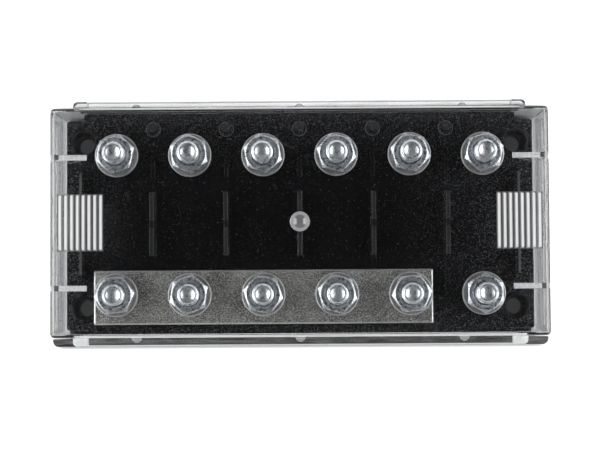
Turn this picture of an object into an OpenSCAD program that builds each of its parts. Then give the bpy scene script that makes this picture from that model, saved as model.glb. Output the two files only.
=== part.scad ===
// Stud fuse holder for bolt-down fuses: a black moulded base carries two rows of terminal studs,
// a busbar joins most of one row, and a clear cover lifts off over the ends.
// Millimetres. Origin in the middle of the underside, +X along the ways, +Y to the line studs, +Z up.

/* [Ways] */
// Number of fuse ways side by side
ways = 6; // [3:1:8]
// Distance between neighbouring ways
way_pitch = 27; // [25:0.5:32]
// Distance between the two stud rows, set by the holes of the fuse
row_span = 51.5; // [48:0.5:58]

/* [Studs] */
// Thread diameter of a stud
stud_d = 8; // [6:0.5:8.5]
// Height of the stud tips above the seats
stud_out = 15.5; // [14.5:0.5:18]
// Chamfer round a stud tip
stud_chamfer = 0.9; // [0.4:0.1:1.4]
// Width of the flat rim round the cup in a stud tip
cup_rim = 0.4; // [0.2:0.1:0.8]
// Depth of the cup that thread rolling leaves in a stud tip
cup_depth = 0.7; // [0.3:0.1:0.9]
// Hexagon head of a stud, across its flats
head_af = 13; // [11:0.5:14]
// Height of the hexagon head of a stud
head_h = 5.3; // [4:0.1:6]
// Height of the heads above the surface the holder stands on
head_inset = 1.2; // [0.5:0.1:2]

/* [Nuts and washers] */
// Hexagon nut, across its flats
nut_af = 13; // [12:0.5:15]
// Height of a nut
nut_h = 6.5; // [5:0.1:7]
// Slope of the chamfers on the corners of nuts and heads, in degrees
hex_chamfer = 30; // [15:1:35]
// Distance from the flats of nuts and heads to their round end faces
hex_land = 0.3; // [0:0.1:0.6]
// Countersink at both ends of the nut's thread
nut_sink = 0.5; // [0.2:0.1:0.8]
// Outside diameter of a flat washer
washer_d = 16; // [15:0.5:18]
// Thickness of a flat washer
washer_t = 1.6; // [1:0.1:2]
// Turn of each line nut about its stud, in degrees
line_nut_turns = [18, 37, 41, 47, 47, 18];
// Turn of each feed nut about its stud, in degrees
feed_nut_turns = [6, 21, 49, 45, 6, 30];

/* [Busbar] */
// Number of feed studs that the busbar joins
bar_ways = 5; // [2:1:6]
// Width of the busbar
bar_w = 20; // [17:0.5:22]
// Thickness of the busbar
bar_t = 3; // [2:0.5:4]
// Length of busbar beyond its outermost studs
bar_end = 8.3; // [8:0.1:10]
// Distance from the studs to the busbar's centre line, away from the fuses
bar_shift = 0.9; // [0:0.1:1.5]
// Chamfer along the busbar's top edges
bar_edge = 0.5; // [0.2:0.1:0.8]
// Radius of the busbar's corners
bar_r = 0.6; // [0.3:0.1:2]

/* [Base] */
// Height of the stud seats above the surface the holder stands on
base_h = 16; // [14:0.5:22]
// Distance from the outermost studs to the end faces of the raised deck
end_space = 18.9; // [18.5:0.1:24]
// Distance from a stud row to the long side of the raised deck
side_space = 13.05; // [12:0.05:16]
// Thickness of the side walls under the deck
base_wall = 2.5; // [2:0.1:3]
// Thickness of the deck plate
deck_t = 3; // [2.5:0.1:4]
// Radius of the deck's upright corners
deck_r = 2; // [1:0.1:3]
// Thickness of the stiffening ribs on the underside
rib_t = 1.6; // [1.2:0.1:2]
// Number of stiffening ribs along the holder, spread from stud row to stud row
long_ribs = 5; // [3:1:7]
// Height of the stiffening ribs above the surface the holder stands on
rib_inset = 0.5; // [0:0.1:1]
// Plastic round the hexagon pockets of the studs
boss_wall = 1.8; // [1.4:0.1:2.5]
// Thickness of the foot along the long sides
foot_t = 4; // [3:0.1:5]
// Distance that the foot stands out past the cover
foot_reach = 3.9; // [3:0.1:6]
// Radius of the foot's corners
foot_r = 2.5; // [1:0.1:3]
// Chamfer along the top edges of the deck and the foot
base_edge = 0.6; // [0.2:0.1:1]

/* [Fixing holes] */
// Diameter of the fixing holes
fix_d = 6; // [4.5:0.1:6.5]
// Diameter of the recess for the screw head
fix_head_d = 9; // [8:0.1:10]
// Height of the screw seats above the surface the holder stands on
fix_seat = 6; // [4:0.5:8]
// Plastic round the screw head recess
fix_wall = 2; // [1.6:0.1:3]
// Distance from the deck's end faces to the fixing holes
fix_end = 6.4; // [6:0.1:8]
// Distance from the deck's long sides to the fixing holes
fix_side = 8.3; // [7:0.1:9]

/* [Dividers] */
// Thickness of the dividers between the ways
div_t = 1.65; // [1.2:0.05:2]
// Height of the dividers between the fuse bodies
div_h = 9; // [5:0.5:11]
// Length of the dividers between the fuse bodies
div_l = 24.8; // [18:0.2:28]
// Slope of a divider's ends, measured along the divider
div_slope = 0.8; // [0.2:0.1:1.5]
// Width of the notch in the middle of a divider's top
div_notch = 2.5; // [1.5:0.1:4]
// Depth of that notch
div_notch_depth = 0.8; // [0.4:0.1:1.5]
// Height of the low ribs between the terminals
low_h = 1.5; // [1:0.1:2.5]
// Length of the low ribs between the terminals
low_l = 11; // [8:0.2:12]
// Distance along the dividers from the fuse ribs to the low ribs
low_gap = 4.9; // [3:0.1:6]
// Base diameter of the cable posts
post_d = 5.5; // [4:0.1:6]
// Top diameter of the cable posts
post_top_d = 3.5; // [2.5:0.1:4]
// Height of the cable posts
post_h = 7; // [4:0.5:9]
// Distance from the deck's line side to the cable posts
post_side = 3.4; // [3:0.1:5]
// Thickness of the ribs at the deck's two ends
end_rib_t = 0.9; // [0.8:0.1:1.5]
// Height of the ribs at the deck's two ends
end_rib_h = 6.5; // [1:0.5:9]
// Length of the ribs at the deck's two ends
end_rib_l = 37; // [30:1:40]
// Distance from the deck's end faces to those ribs
end_rib_in = 6.3; // [4:0.1:7]

/* [Cover] */
// Thickness of the cover's walls
cover_wall = 1.2; // [1:0.1:2]
// Thickness of the cover's top
cover_roof = 2; // [1.6:0.1:2.5]
// Room between the stud tips and the cover
tip_room = 4.5; // [3:0.5:8]
// Radius of the cover's upright corners
cover_r = 1.7; // [1:0.1:4]
// Chamfer along the cover's top edges
cover_edge = 0.7; // [0.3:0.1:1.2]
// Height of the end walls above the surface the holder stands on
skirt_gap = 0.5; // [0.3:0.1:1]
// Length of the corner walls on the long sides, beside the cable openings
return_l = 11.2; // [9:0.1:14]
// Length that those corner walls lose on their way down to the foot
return_lean = 3.5; // [0:0.1:4]
// Depth of the wall strip above a cable opening
strip_h = 10; // [7:0.5:11]
// Distance that the lip over a cable opening stands out
lip_out = 3.2; // [2:0.1:3.8]
// Thickness of the lip
lip_t = 2; // [1.5:0.1:3]
// Chamfer along the lip's outer top edge
lip_edge = 0.5; // [0.2:0.1:0.8]
// Length of lip past each end of the cable opening
lip_end = 4; // [2:0.1:6]
// Length of the blocks that close the ends of the lip
stop_l = 5; // [3:0.1:7]
// Depth of those blocks
stop_h = 7; // [4:0.5:9]
// Radius of the half-round pips on the lip
pip_r = 1.8; // [1:0.1:2.5]
// Height of the pips
pip_h = 1.5; // [0.8:0.1:2.5]
// Distance from the ends of the opening to the outer pips
pip_in = 19; // [12:0.5:24]
// Thickness of the gussets in the end walls
gusset_t = 1.9; // [1.5:0.1:2.5]
// Length of the gussets along the cover's top
gusset_l = 11.8; // [8:0.1:12]
// Distance of the gussets from the cover's centre line
gusset_y = 23.4; // [20:0.1:24]
// Room between the gussets and the deck
gusset_room = 1.5; // [1:0.1:4]

/* [Cover grips and latches] */
// Number of ribs in each finger grip
grip_ribs = 8; // [4:1:9]
// Distance between neighbouring grip ribs
grip_pitch = 2.07; // [1.8:0.01:2.4]
// Width of a grip rib
grip_w = 1.2; // [0.9:0.05:1.6]
// Width of the flat crest of a grip rib
grip_crest = 0.4; // [0.2:0.1:0.6]
// Height of a grip rib
grip_h = 1; // [0.6:0.1:1.4]
// Length of the grip ribs
grip_l = 20.4; // [16:0.2:26]
// Distance from the cover's end to the finger grip
grip_in = 3.2; // [2:0.1:6]
// Diameter of the ring in the middle of the top
ring_d = 7; // [5:0.1:9]
// Height of that ring
ring_h = 0.7; // [0.4:0.1:1]
// Width of the ring's flat rim
ring_rim = 1; // [0.6:0.1:1.4]
// Depth of the dish inside the ring
ring_dish = 1.2; // [0.6:0.1:1.4]
// Width of the spring tongue in each end wall
tongue_w = 16.4; // [12:0.2:20]
// Width of the slits beside the tongue
slit_w = 1; // [0.6:0.1:1.5]
// Height of the slits above the seats
slit_up = 10; // [6:0.5:14]
// Width of the latch nose on the tongue
nose_w = 8; // [5:0.5:10]
// Height of the latch nose
nose_h = 3; // [2:0.1:4]
// Height of the sloped lead-in under the latch nose
nose_lead = 2; // [1:0.1:2]
// Distance that the latch nose reaches into its groove
nose_in = 0.7; // [0.4:0.1:1]
// Height of the latch nose above the foot
nose_up = 2; // [1:0.1:4]

/* [Clearances] */
// Between the deck's ends and the cover
end_gap = 1.6; // [0.5:0.1:2]
// Between the deck's long sides and the cover
side_gap = 1.1; // [0.2:0.05:1.4]
// Between the cover's corners and the foot
notch_gap = 0.9; // [0.4:0.1:1.2]
// Between the latch nose and its groove
nose_gap = 0.5; // [0.3:0.1:1]
// Round a stud in the base and in the busbar
stud_gap = 0.25; // [0.1:0.05:0.4]
// Round a stud in a nut
thread_gap = 0.1; // [0.05:0.05:0.2]
// Round a stud in a washer
washer_gap = 0.2; // [0.1:0.05:0.4]
// Round the hexagon head in its pocket
pocket_gap = 0.1; // [0.05:0.05:0.3]

/* [Hidden] */
$fn = 64;
// How far a cut runs past the face it opens
past = 1;
// How far a feature runs into the wall that carries it
root = 0.5;

deck_l = (ways - 1) * way_pitch + 2 * end_space;
deck_w = row_span + 2 * side_space;
cover_l = deck_l + 2 * (end_gap + cover_wall);
cover_w = deck_w + 2 * (side_gap + cover_wall);
foot_l = cover_l + 2 * foot_reach;
foot_w = cover_w + 2 * foot_reach;
cover_in = base_h + stud_out + tip_room;
cover_top = cover_in + cover_roof;
head_top = head_inset + head_h;
stud_tip = base_h + stud_out;
pocket_af = head_af + 2 * pocket_gap;
boss_d = across_corners(pocket_af) + 2 * boss_wall;
bore_d = stud_d + 2 * stud_gap;
fix_x = deck_l / 2 - fix_end;
fix_y = deck_w / 2 - fix_side;
way_x = [for (i = [0 : ways - 1]) (i - (ways - 1) / 2) * way_pitch];
div_x = [for (i = [0 : ways - 2]) (way_x[i] + way_x[i + 1]) / 2];
rib_x = concat(way_x, div_x);
bar_count = min(bar_ways, ways);
bar_from = way_x[0] - bar_end;
bar_to = way_x[bar_count - 1] + bar_end;
open_l = cover_l - 2 * return_l;
strip_z = cover_top - strip_h;
lip_l = open_l + 2 * lip_end;
groove_w = nose_w + 2 * nose_gap;
groove_depth = nose_in + nose_gap;
nose_z = foot_t + nose_up;

way_numbers = [for (i = [1 : ways]) i];

// Distance between opposite corners of a hexagon
function across_corners(af) = af / cos(30);

// Height at which the washer of a feed stud sits: on the busbar, or on the deck past its end
function feed_seat(i) = base_h + (i < bar_count ? bar_t : 0);

// Upright section of a block with its two top edges chamfered
function crown(l, h, c) = [
    [-l / 2, 0], [l / 2, 0], [l / 2, h - c], [l / 2 - c, h], [c - l / 2, h], [-l / 2, h - c]
];

// Plan of a plate with round corners
module rounded(l, w, r) {
    square([l - 2 * r, w], center = true);
    square([l, w - 2 * r], center = true);
    for (x = [-1, 1], y = [-1, 1])
        translate([x * (l / 2 - r), y * (w / 2 - r)])
            circle(r);
}

// Section in X and Z, drawn out along Y to both sides of the origin
module along_y(length) {
    rotate([90, 0, 0])
        linear_extrude(length, center = true)
            children();
}

// Section in Y and Z, drawn out along X to both sides of the origin
module along_x(length) {
    rotate([90, 0, 90])
        linear_extrude(length, center = true)
            children();
}

// Block with round upright corners and chamfered top edges
module crowned_block(l, w, h, r, c) {
    intersection() {
        linear_extrude(h)
            rounded(l, w, r);
        along_y(w)
            polygon(crown(l, h, c));
        along_x(l)
            polygon(crown(w, h, c));
    }
}

// The same feature on the left and the right
module both_ends() {
    children();
    mirror([1, 0, 0])
        children();
}

// The same feature on the line side and the feed side
module both_sides() {
    children();
    mirror([0, 1, 0])
        children();
}

// Hexagon prism with a flat across Y, its corners cut by cones at the faces named
module hexagon(af, h, cut_bottom, cut_top) {
    corner_r = across_corners(af) / 2;
    face_r = af / 2 - hex_land;
    fall = (corner_r - face_r) * tan(hex_chamfer);
    intersection() {
        cylinder(h = h, r = corner_r, $fn = 6);
        rotate_extrude()
            polygon([
                [0, 0],
                [cut_bottom ? face_r : corner_r, 0],
                [corner_r, cut_bottom ? fall : 0],
                [corner_r, cut_top ? h - fall : h],
                [cut_top ? face_r : corner_r, h],
                [0, h]
            ]);
    }
}

// Hexagon-head terminal stud: head in the base, plain shank, chamfered tip with a shallow round cup
module stud(x, y) {
    tip_r = stud_d / 2 - stud_chamfer;
    cup_r = tip_r - cup_rim;
    ball_r = (cup_r * cup_r + cup_depth * cup_depth) / (2 * cup_depth);
    translate([x, y, 0])
        difference() {
            union() {
                translate([0, 0, head_inset])
                    hexagon(head_af, head_h, true, false);
                rotate_extrude()
                    polygon([
                        [0, head_inset + root],
                        [stud_d / 2, head_inset + root],
                        [stud_d / 2, stud_tip - stud_chamfer],
                        [tip_r, stud_tip],
                        [0, stud_tip]
                    ]);
            }
            translate([0, 0, stud_tip + ball_r - cup_depth])
                sphere(ball_r);
        }
}

// Flat washer lying at height z
module washer(x, y, z) {
    translate([x, y, z])
        linear_extrude(washer_t)
            difference() {
                circle(d = washer_d);
                circle(d = stud_d + 2 * washer_gap);
            }
}

// Hexagon nut standing at height z
module nut(x, y, z, turn) {
    thread_r = stud_d / 2 + thread_gap;
    translate([x, y, z])
        rotate(turn)
            difference() {
                hexagon(nut_af, nut_h, true, true);
                rotate_extrude()
                    polygon([
                        [0, -past],
                        [thread_r + nut_sink + past, -past],
                        [thread_r, nut_sink],
                        [thread_r, nut_h - nut_sink],
                        [thread_r + nut_sink + past, nut_h + past],
                        [0, nut_h + past]
                    ]);
            }
}

// Deck and foot as one outer form, with notches that let the cover's end walls drop past the deck
module base_outside() {
    notch_w = cover_w + 2 * notch_gap;
    crowned_block(deck_l, deck_w, base_h, deck_r, base_edge);
    difference() {
        crowned_block(foot_l, foot_w, foot_t, foot_r, base_edge);
        both_ends()
            translate([deck_l / 2, -notch_w / 2, -past])
                cube([foot_l, notch_w, foot_t + 2 * past]);
    }
}

// Hollow under the deck
module base_hollow() {
    translate([0, 0, -past])
        linear_extrude(base_h - deck_t + past)
            rounded(deck_l - 2 * base_wall, deck_w - 2 * base_wall, deck_r);
}

// Stiffening ribs, stud bosses and screw bosses that fill the hollow
module base_underside() {
    top = base_h - deck_t + root;
    rib_h = top - rib_inset;
    for (x = rib_x)
        translate([x - rib_t / 2, -deck_w / 2 + root, rib_inset])
            cube([rib_t, deck_w - 2 * root, rib_h]);
    for (i = [0 : long_ribs - 1])
        translate([-deck_l / 2 + root, (i / (long_ribs - 1) - 1 / 2) * row_span - rib_t / 2, rib_inset])
            cube([deck_l - 2 * root, rib_t, rib_h]);
    for (x = way_x, y = [-row_span / 2, row_span / 2])
        translate([x, y, 0])
            cylinder(h = top, d = boss_d);
    intersection() {
        linear_extrude(top)
            rounded(deck_l, deck_w, deck_r);
        for (x = [-fix_x, fix_x], y = [-fix_y, fix_y])
            translate([x, y, 0])
                cylinder(h = top, d = fix_head_d + 2 * fix_wall);
    }
}

// Ribs and posts on the deck that keep neighbouring fuses and cables apart
module base_dividers() {
    half = div_l / 2;
    notch = div_notch / 2;
    low_from = half + low_gap;
    deck_z = base_h - root;
    tall = div_h + root;
    low = low_h + root;
    for (x = div_x)
        translate([x, 0, deck_z]) {
            along_x(div_t)
                polygon([
                    [-half, 0], [half, 0], [half - div_slope, tall], [notch, tall],
                    [notch, tall - div_notch_depth], [-notch, tall - div_notch_depth],
                    [-notch, tall], [div_slope - half, tall]
                ]);
            translate([-div_t / 2, low_from, 0])
                cube([div_t, low_l, low]);
            if (x - div_t / 2 > bar_to + stud_gap)
                translate([-div_t / 2, -low_from - low_l, 0])
                    cube([div_t, low_l, low]);
            translate([0, deck_w / 2 - post_side, 0])
                cylinder(h = post_h + root, d1 = post_d, d2 = post_top_d);
        }
    both_ends()
        translate([deck_l / 2 - end_rib_in - end_rib_t / 2, -end_rib_l / 2, deck_z])
            cube([end_rib_t, end_rib_l, end_rib_h + root]);
}

module base_moulding() {
    color("#1b1b1d")
        difference() {
            union() {
                difference() {
                    base_outside();
                    base_hollow();
                }
                base_underside();
                base_dividers();
            }
            for (x = way_x, y = [-row_span / 2, row_span / 2])
                translate([x, y, -past]) {
                    cylinder(h = base_h + 2 * past, d = bore_d);
                    cylinder(h = head_top + past, r = across_corners(pocket_af) / 2, $fn = 6);
                }
            for (x = [-fix_x, fix_x], y = [-fix_y, fix_y])
                translate([x, y, 0]) {
                    translate([0, 0, -past])
                        cylinder(h = base_h + 2 * past, d = fix_d);
                    translate([0, 0, fix_seat])
                        cylinder(h = base_h, d = fix_head_d);
                }
            both_ends()
                translate([deck_l / 2 - groove_depth, -groove_w / 2, -past])
                    cube([groove_depth + past, groove_w, base_h + 2 * past]);
        }
}

// Open-sided shell: a top, two full end walls, corner returns that stand on the foot, and cable openings
module cover_shell() {
    side_cut = cover_wall + side_gap + past;
    difference() {
        translate([0, 0, skirt_gap])
            crowned_block(cover_l, cover_w, cover_top - skirt_gap, cover_r, cover_edge);
        linear_extrude(cover_in)
            rounded(cover_l - 2 * cover_wall, cover_w - 2 * cover_wall, max(cover_r - cover_wall, root));
        both_sides() {
            translate([0, (deck_w + side_cut) / 2, 0])
                along_y(side_cut)
                    polygon([
                        [-open_l / 2 - return_lean, 0], [open_l / 2 + return_lean, 0],
                        [open_l / 2, strip_z], [-open_l / 2, strip_z]
                    ]);
            translate([-deck_l / 2 - end_gap / 2, deck_w / 2, 0])
                cube([deck_l + end_gap, side_cut, foot_t]);
        }
    }
}

// Lip over a cable opening, with its end blocks and half-round pips
module cover_lip() {
    wall_y = cover_w / 2;
    pip_x = open_l / 2 - pip_in;
    translate([0, wall_y, strip_z]) {
        intersection() {
            linear_extrude(lip_t)
                rounded(lip_l, 2 * lip_out, lip_out / 2);
            along_x(lip_l)
                polygon([
                    [-root, 0], [lip_out, 0], [lip_out, lip_t - lip_edge], [lip_out - lip_edge, lip_t],
                    [-root, lip_t]
                ]);
        }
        both_ends()
            translate([lip_l / 2 - stop_l, -root, lip_t - stop_h])
                linear_extrude(stop_h)
                    intersection() {
                        square([stop_l, lip_out + root]);
                        translate([0, root])
                            rounded(2 * stop_l, 2 * lip_out, lip_out / 2);
                    }
        for (x = [-pip_x, 0, pip_x])
            translate([x, 0, lip_t - root])
                cylinder(h = pip_h + root, r = pip_r);
    }
}

// Triangular gusset between the top and the right-hand end wall
module cover_gusset() {
    wall_x = cover_l / 2 - cover_wall;
    translate([0, gusset_y, 0])
        along_y(gusset_t)
            polygon([
                [wall_x - gusset_l, cover_in],
                [wall_x - gusset_l, cover_in + root],
                [wall_x + root, cover_in + root],
                [wall_x + root, base_h + gusset_room],
                [wall_x, base_h + gusset_room]
            ]);
}

// Saw-tooth finger grip at the right-hand end of the top: each rib is highest on its outer side
module cover_grip() {
    outer_x = cover_l / 2 - grip_in;
    intersection() {
        translate([0, 0, cover_top])
            along_y(grip_l)
                for (i = [0 : grip_ribs - 1])
                    translate([outer_x - i * grip_pitch, 0])
                        polygon([
                            [0, -root], [0, grip_h], [-grip_crest, grip_h], [-grip_w, 0], [-grip_w, -root]
                        ]);
        translate([0, 0, cover_top])
            along_x(cover_l)
                polygon([
                    [-grip_l / 2, -root], [grip_l / 2, -root], [grip_l / 2, 0],
                    [grip_l / 2 - grip_h, grip_h], [grip_h - grip_l / 2, grip_h], [-grip_l / 2, 0]
                ]);
    }
}

// Latch nose on the inside of the right-hand tongue, a wedge that stands in the base's groove
module cover_nose() {
    wall_x = cover_l / 2 - cover_wall;
    reach = end_gap + nose_in;
    translate([0, 0, nose_z])
        along_y(nose_w)
            polygon([
                [wall_x + root, 0], [wall_x, 0], [wall_x - reach, nose_lead],
                [wall_x - reach, nose_h], [wall_x + root, nose_h]
            ]);
}

// Raised ring in the middle of the top
module cover_ring() {
    translate([0, 0, cover_top - root])
        cylinder(h = ring_h + root, d = ring_d);
}

// Conical dish inside that ring
module cover_dish() {
    rim_z = cover_top + ring_h;
    rim_r = ring_d / 2 - ring_rim;
    rotate_extrude()
        polygon([[0, rim_z - ring_dish], [rim_r, rim_z], [rim_r, rim_z + past], [0, rim_z + past]]);
}

module clear_cover() {
    slit_h = base_h + slit_up;
    color([0.86, 0.9, 0.92, 0.35])
        difference() {
            union() {
                cover_shell();
                both_sides()
                    cover_lip();
                both_ends() {
                    both_sides()
                        cover_gusset();
                    cover_grip();
                    cover_nose();
                }
                cover_ring();
            }
            cover_dish();
            both_ends()
                both_sides()
                    translate([cover_l / 2 - cover_wall - past, tongue_w / 2, 0])
                        cube([cover_wall + 2 * past, slit_w, slit_h]);
        }
}

module busbar() {
    color("#8f8c85")
        translate([0, -row_span / 2, base_h])
            difference() {
                translate([(bar_from + bar_to) / 2, -bar_shift, 0])
                    crowned_block(bar_to - bar_from, bar_w, bar_t, bar_r, bar_edge);
                for (i = [0 : bar_count - 1])
                    translate([way_x[i], 0, -past])
                        cylinder(h = bar_t + 2 * past, d = bore_d);
            }
}

module line_stud(i) {
    color("#b4b9bf")
        stud(way_x[i], row_span / 2);
}

module feed_stud(i) {
    color("#b4b9bf")
        stud(way_x[i], -row_span / 2);
}

module line_washers() {
    color("#bdb9b0")
        for (x = way_x)
            washer(x, row_span / 2, base_h);
}

module feed_washers() {
    color("#bdb9b0")
        for (i = [0 : ways - 1])
            washer(way_x[i], -row_span / 2, feed_seat(i));
}

module line_nuts() {
    color("#c2c7cc")
        for (i = [0 : ways - 1])
            nut(way_x[i], row_span / 2, base_h + washer_t, line_nut_turns[i % len(line_nut_turns)]);
}

module feed_nuts() {
    color("#c2c7cc")
        for (i = [0 : ways - 1])
            nut(way_x[i], -row_span / 2, feed_seat(i) + washer_t, feed_nut_turns[i % len(feed_nut_turns)]);
}

base_moulding();
busbar();
for (i = way_numbers) {
    line_stud(i - 1);
    feed_stud(i - 1);
}
line_washers();
feed_washers();
line_nuts();
feed_nuts();
clear_cover();
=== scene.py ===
import math

import bmesh
import bpy
from mathutils import Matrix, Vector


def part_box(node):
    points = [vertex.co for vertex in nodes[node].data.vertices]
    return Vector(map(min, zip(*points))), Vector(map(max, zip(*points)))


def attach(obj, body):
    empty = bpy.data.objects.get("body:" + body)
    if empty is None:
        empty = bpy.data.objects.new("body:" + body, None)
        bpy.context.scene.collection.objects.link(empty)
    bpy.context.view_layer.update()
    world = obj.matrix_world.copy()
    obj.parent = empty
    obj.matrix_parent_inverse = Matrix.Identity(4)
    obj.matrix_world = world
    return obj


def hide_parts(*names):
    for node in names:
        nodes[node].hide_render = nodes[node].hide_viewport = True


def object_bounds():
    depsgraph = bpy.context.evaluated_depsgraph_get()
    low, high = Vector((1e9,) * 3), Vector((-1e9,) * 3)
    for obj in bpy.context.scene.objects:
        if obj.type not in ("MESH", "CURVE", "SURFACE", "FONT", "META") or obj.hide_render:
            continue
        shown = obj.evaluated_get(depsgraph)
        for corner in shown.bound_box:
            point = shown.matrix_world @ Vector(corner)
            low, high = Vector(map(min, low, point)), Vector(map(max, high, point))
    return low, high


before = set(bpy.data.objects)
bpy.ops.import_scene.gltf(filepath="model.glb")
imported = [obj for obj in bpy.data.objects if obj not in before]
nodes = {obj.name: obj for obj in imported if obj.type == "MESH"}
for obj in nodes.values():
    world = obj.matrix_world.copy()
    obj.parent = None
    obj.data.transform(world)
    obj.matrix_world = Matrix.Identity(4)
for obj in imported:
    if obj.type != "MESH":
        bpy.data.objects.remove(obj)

# Looks of a stud fuse holder: a black moulded base, twelve zinc studs with washers and nuts, a plated busbar
# and a clear cover. Lengths are in metres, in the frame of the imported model.

cad_low, cad_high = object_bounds()
MM = 0.001

# Studs: M8 thread above the seats, hexagon head in the base
WAYS = 6
WAY_PITCH = 27 * MM
ROW_Y = 25.75 * MM
SEAT_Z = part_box("busbar")[0].z
THREAD_R = 4 * MM
THREAD_PITCH = 1.25 * MM
THREAD_DEPTH = 0.6134 * THREAD_PITCH
THREAD_CREST = 0.125
THREAD_ROOT = 0.75
THREAD_ROWS = 10
STUD_SIDES = 48
HEAD_H = 5.3 * MM
HEAD_LAND = 0.3 * MM
HEAD_SLOPE = math.tan(math.radians(30))
TIP_CHAMFER = 0.9 * MM
TIP_SOFT = 0.1 * MM
CUP_RIM = 0.4 * MM
CUP_DEPTH = 0.7 * MM
CUP_ROWS = 8

# Nuts: chamfered hexagons with a countersunk hole
NUT_SIDES = 96
NUT_FLATS = 13 * MM
NUT_LAND = 0.5 * MM
NUT_BORE = 4.1 * MM
NUT_SINK = 0.5 * MM
NUT_EDGE = 0.14 * MM

# Rounding of the edges, and the slack of tests on places and sizes
BASE_EDGE = 0.22 * MM
COVER_EDGE = 0.15 * MM
COVER_RIM_EDGE = 0.4 * MM
LIP_EDGE = 0.22 * MM
GRIP_EDGE = 0.08 * MM
BAR_EDGE = 0.35 * MM
WASHER_EDGE = 0.3 * MM
SHARP_ANGLE = math.radians(22)
CORNER_ANGLE = math.radians(40)
FLAT_ANGLE = math.radians(0.5)
WELD = 0.001 * MM
SLACK = 0.05 * MM
BROAD = 50 * MM ** 2

# Base: deck, foot, dividers, end walls, cable posts, screw recesses, and sills under the cover's lips
DECK_Z = 16 * MM
DECK_HALF_L = 86.4 * MM
DECK_R = 2 * MM
DECK_EDGE = 0.6 * MM
HOLLOW_TOP = 14 * MM
HOLLOW_HALF_L = 84.6 * MM
FOOT_T = 4 * MM
NOTCH_HALF_W = 42 * MM
DIVIDER_TOP = 25 * MM
DIVIDER_T = 1.65 * MM
DIVIDER_REACH = 24 * MM
END_WALL_X = 80.1 * MM
END_WALL_T = 0.9 * MM
END_WALL_TOP = 22.5 * MM
POST_Y = 35.4 * MM
POST_R = 2.75 * MM
POST_TOP = 23 * MM
POST_LAST = 60 * MM
RECESS_X = 80 * MM
RECESS_Y = 30.5 * MM
RECESS_R = 4.5 * MM
SILL_HALF_L = 78.8 * MM
SILL_FROM = 37.5 * MM
SILL_TO = 41.6 * MM
SILL_LOW = 3 * MM

# Dust and painted highlights of the base: where dust begins, how far left its bare middle lies, and how deep
# the painted highlights reach
DUST_LEAN = 10 * MM
DUST_FROM_X = 45 * MM
DUST_FROM_Y = 18 * MM
DUST_TO_Y = 40 * MM
DECK_NEAR = 0.2 * MM
DECK_CLEAR = 0.3 * MM
# Width of the painted highlight along the deck's ends
DECK_END_HIGHLIGHT = 0.35 * MM
DECK_END_FADE = 0.2 * MM
HIGHLIGHT_REACH = 0.4 * MM
DIVIDER_MIDDLE = 0.4 * MM
DIVIDER_FADE = 0.2 * MM

# Cover: its outline, lips and finishes
CLEAR_IOR = 1.56
COVER_HALF_W = 41.1 * MM
COVER_ROOF = 2 * MM
COVER_CHAMFER = 0.7 * MM
GRIP_H = 1 * MM
GRIP_ROOT = 0.4 * MM
GRIP_FROM = 70.2 * MM
GRIP_TO = 86.6 * MM
GRIP_HALF_L = 10.2 * MM
RING_R = 3.6 * MM
RING_DISH = 1.2 * MM
DISH_R = 2.4 * MM
DISH_SOFT = 0.1 * MM
# Height of the painted glow at the foot of the hazy walls
GLOW_TOP = 10 * MM
GLOW_FADE = 0.5 * MM
# Where painted shade begins on the cover's back edge
BACK_SHADE_FROM = 39 * MM
GUSSET_Y = 23.4 * MM
GUSSET_T = 1.9 * MM
# Where painted shade lies over the gusset roots
GUSSET_FROM = 86 * MM
GUSSET_TO = 87.6 * MM
CORNER_FROM = 78.6 * MM
LIP_OUT = 3.2 * MM
LIP_TOP = 30 * MM
LIP_HALF_L = 82 * MM
STOP_L = 5 * MM
SIDE_WALL = 1.2 * MM
PIP_R = 1.8 * MM
# Where painted shade lies on the corners' chamfers
CORNER_SHADE_FROM = 80.5 * MM
CORNER_SHADE_W = COVER_CHAMFER + 0.3 * MM
FROSTED = 1
HAZY_WALL = 2
HAZY_LIP = 3
CLOUDY = 4
BOSS = 5

# Metal: painted highlights on the rims of the washers, none on studs and nuts, and painted highlights along
# the edges of the busbar
WASHER_HIGHLIGHT_R = 7.65 * MM
NO_HIGHLIGHT = 8 * MM
RIM_FADE = 0.15 * MM
BAR_HIGHLIGHT_W = 0.45 * MM
BAR_FADE = 0.2 * MM

# Camera, fitted to the photo's landmarks
PHOTO_W = 600
FOCAL_PX = 1715.4
SENSOR_W = 36
CAMERA_AT = Vector((0.91, -30.6, 648.9)) * MM
CAMERA_AIM = Vector((0.023, -0.41, 20)) * MM
CAMERA_ROLL = -0.0065

# Studio
FLOOR_SIZE = 6
FLOOR_DROP = 0.2 * MM
# Reach of the painted shadow on the floor beside the holder
SHADE_FROM = 0.5 * MM
SHADE_TO = 1.2 * MM
SOFTBOX_X = 0.85
SOFTBOX_Z = 0.6
SOFTBOX_AIM = Vector((0, 0, 0.02))
SOFTBOX_SIZE = (1.0, 0.8)
SOFTBOX_POWER = 7.3
WORLD_ENDS = 0.9
WORLD_BEHIND = 0.45
WORLD_LOW = 0.28
WORLD_OVERHEAD = 0.025


# Shader helpers

def set_inputs(tree, node, inputs):
    """Links sockets and sets plain values on a node's inputs, by name or by number."""
    for key, value in inputs.items():
        socket = node.inputs[key]
        if isinstance(value, bpy.types.NodeSocket):
            tree.links.new(value, socket)
        else:
            socket.default_value = value


def add(tree, kind, inputs=None, **settings):
    """A new node of that kind, with its settings and inputs."""
    node = tree.nodes.new("ShaderNode" + kind)
    for key, value in settings.items():
        setattr(node, key, value)
    set_inputs(tree, node, inputs or {})
    return node


def new_material(name):
    """A node material, its tree, its principled shader and the object's own coordinates."""
    made = bpy.data.materials.new(name)
    made.use_nodes = True
    tree = made.node_tree
    return made, tree, tree.nodes["Principled BSDF"], add(tree, "TexCoord").outputs["Object"]


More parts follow.
